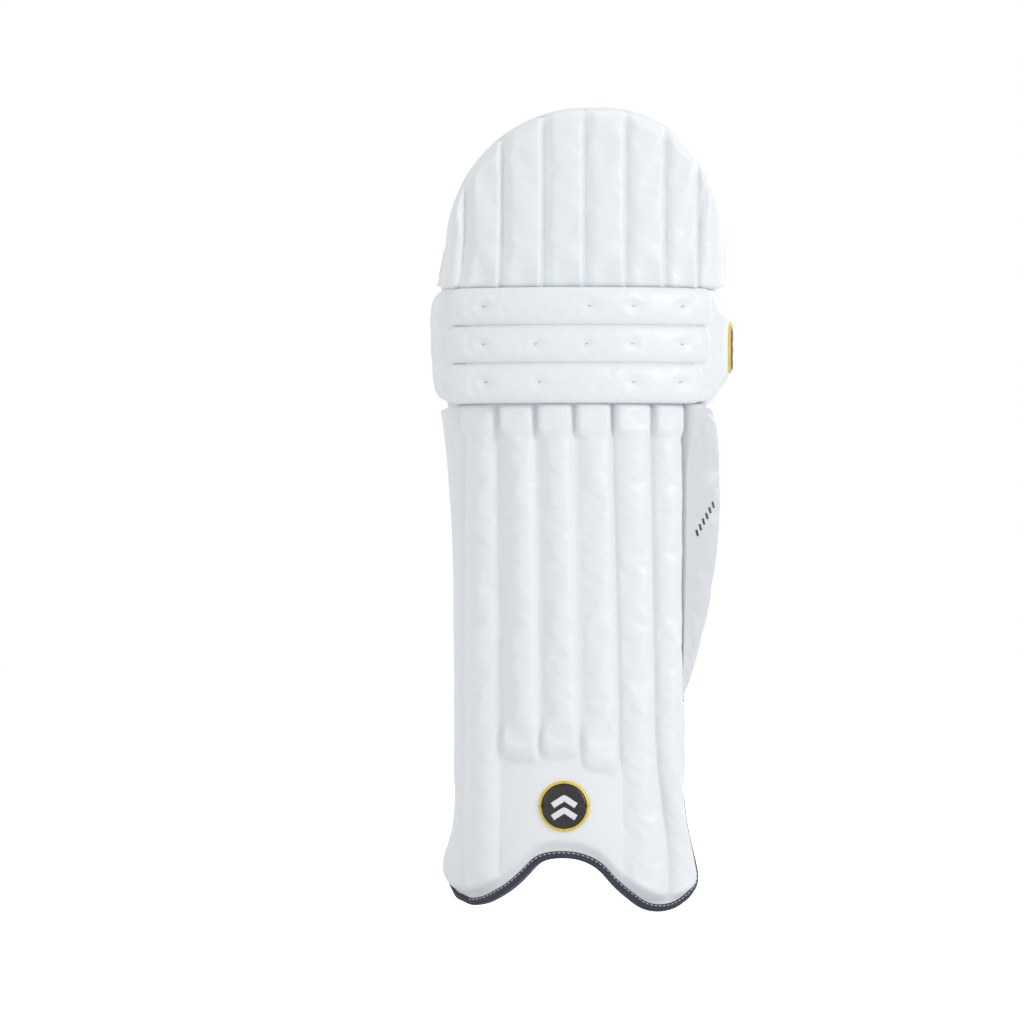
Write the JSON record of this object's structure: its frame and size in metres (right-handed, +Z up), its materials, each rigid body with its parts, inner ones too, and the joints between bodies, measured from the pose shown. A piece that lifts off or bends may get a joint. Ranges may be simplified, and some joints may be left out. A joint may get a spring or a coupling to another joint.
{
  "type": "cricket leg pad",
  "caption": "Cricket batting leg pad for the left leg: quilted thigh flap, knee rolls, upright shin canes, calf wing and hook-and-loop straps.",
  "frame": {"origin": "on the axis of the leg, at the height of the lowest edge of the pad", "axes": "+Z up along the leg, -Y out of the face of the pad, +X to the outer side of the left leg"},
  "size_m": [0.276, 0.1597, 0.74],
  "materials": {
    "face_leather": "satin coated",
    "foam_backing": "matte",
    "printed_lining": "satin printed",
    "white_lining": "matte",
    "mesh_cloth": "matte",
    "badge_rubber": "satin",
    "cane": "matte",
    "navy_binding": "matte",
    "strap_cloth": "matte",
    "woven_band": "matte",
    "printed_tab": "satin",
    "hook_and_loop": "matte"
  },
  "bodies": {
    "shin": {"shin_cane_1": "face_leather", "shin_cane_2": "face_leather", "shin_cane_3": "face_leather", "shin_cane_4": "face_leather", "shin_cane_5": "face_leather", "shin_cane_6": "face_leather", "shin_cane_7": "face_leather", "cane_rods": "cane", "shin_core": "foam_backing", "shin_centre_panel": "printed_lining", "shin_bolster_outer": "mesh_cloth", "shin_bolster_inner": "mesh_cloth", "side_wall_inner": "white_lining", "side_wall_outer": "white_lining", "instep_panel": "face_leather", "instep_lining": "white_lining", "foot_binding": "navy_binding", "front_badge": "badge_rubber", "ankle_loop_patch": "hook_and_loop"},
    "knee": {"knee_roll_1": "face_leather", "knee_roll_2": "face_leather", "knee_roll_3": "face_leather", "knee_core": "foam_backing", "knee_wing_outer": "face_leather", "knee_wing_inner": "face_leather", "knee_side_badge": "badge_rubber", "knee_pad_centre_upper": "printed_lining", "knee_pad_centre_lower": "printed_lining", "knee_bolster_upper_outer": "white_lining", "knee_bolster_upper_inner": "white_lining", "knee_bolster_lower_outer": "white_lining", "knee_bolster_lower_inner": "white_lining", "knee_rear_badge": "badge_rubber", "knee_loop_patch": "hook_and_loop"},
    "thigh_flap": {"thigh_section_1": "face_leather", "thigh_section_2": "face_leather", "thigh_section_3": "face_leather", "thigh_section_4": "face_leather", "thigh_section_5": "face_leather", "thigh_section_6": "face_leather", "thigh_section_7": "face_leather", "thigh_section_8": "face_leather", "thigh_core": "foam_backing", "thigh_lining": "printed_lining", "thigh_edge_piping": "white_lining", "thigh_rear_badge": "badge_rubber"},
    "calf_wing": {"calf_wing": "face_leather", "calf_loop_patch": "hook_and_loop"},
    "knee_strap": {"knee_strap": "strap_cloth", "knee_strap_band": "woven_band", "knee_strap_hook_patch": "hook_and_loop"},
    "calf_strap": {"calf_strap": "strap_cloth", "calf_strap_band": "woven_band", "calf_strap_tab": "printed_tab", "calf_strap_hook_patch": "hook_and_loop"},
    "ankle_strap": {"ankle_strap": "strap_cloth", "ankle_strap_band": "woven_band", "ankle_strap_hook_patch": "hook_and_loop"}
  },
  "joints": [
    {"name": "knee_fold", "type": "hinge", "parent": "shin", "child": "knee", "pos_m": [0, -0.045, 0.46775], "axis": [-1, 0, 0], "range_deg": [0, 25]},
    {"name": "thigh_fold", "type": "hinge", "parent": "knee", "child": "thigh_flap", "pos_m": [0, -0.045, 0.57325], "axis": [-1, 0, 0], "range_deg": [0, 25]},
    {"name": "calf_wing_flex", "type": "hinge", "parent": "shin", "child": "calf_wing", "pos_m": [0.0915, -0.062, 0.33], "axis": [0, 0, 1], "range_deg": [-15, 0]},
    {"name": "knee_strap_swing", "type": "hinge", "parent": "knee", "child": "knee_strap", "pos_m": [-0.116, 0.0278, 0.498], "axis": [0, 0, 1], "range_deg": [0, 140]},
    {"name": "calf_strap_swing", "type": "hinge", "parent": "shin", "child": "calf_strap", "pos_m": [-0.116, 0.0278, 0.368], "axis": [0, 0, 1], "range_deg": [0, 140]},
    {"name": "ankle_strap_swing", "type": "hinge", "parent": "shin", "child": "ankle_strap", "pos_m": [-0.116, 0.0278, 0.1595], "axis": [0, 0, 1], "range_deg": [0, 140]}
  ]
}
